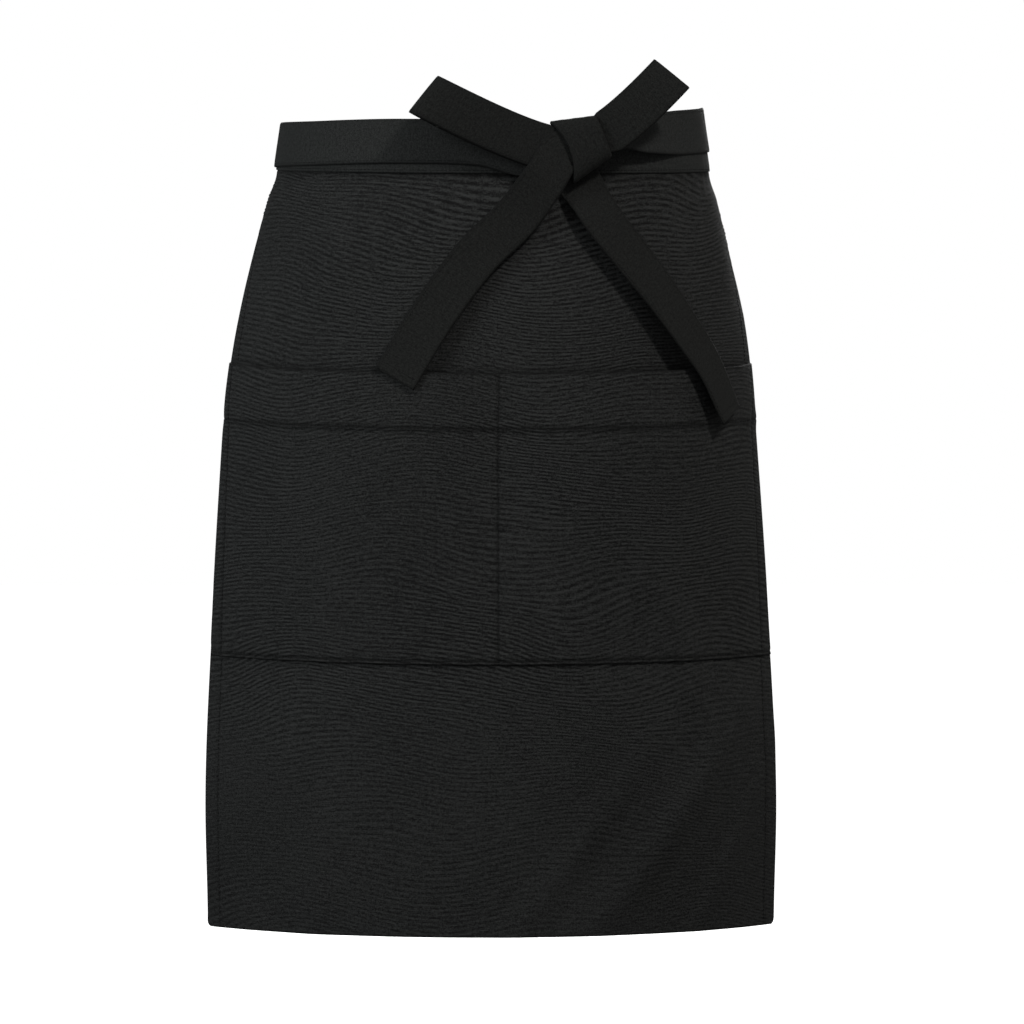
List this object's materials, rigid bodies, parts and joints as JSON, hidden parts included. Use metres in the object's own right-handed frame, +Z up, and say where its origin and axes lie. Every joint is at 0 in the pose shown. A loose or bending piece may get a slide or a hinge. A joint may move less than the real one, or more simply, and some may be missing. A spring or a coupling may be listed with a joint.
{
  "type": "waist apron",
  "caption": "Waist apron in dark canvas, in its worn form: a curved skirt panel with a wide double pocket, a folded waistband and long tape ties knotted in a bow at the front.",
  "frame": {"origin": "middle of the waist opening, at the height of the waistband's middle at the sides, where the wearer's waist holds the apron", "axes": "+Z up, -Y to the front where the bow and the pocket are, +X to the right as seen from the front"},
  "size_m": [0.4366, 0.2638, 0.6517],
  "materials": {
    "canvas": "matte black cotton canvas with a fine weave and faint crosswise ribs",
    "tape": "matte black doubled canvas tape, edge stitched"
  },
  "bodies": {
    "root": {"apron_panel": "canvas", "pocket_panel": "canvas", "waistband": "tape", "tie_left": "tape", "tie_right": "tape", "bow_knot": "tape", "bow_loop_left": "tape", "bow_loop_right": "tape", "bow_tail_left": "tape", "bow_tail_right": "tape"}
  },
  "joints": []
}
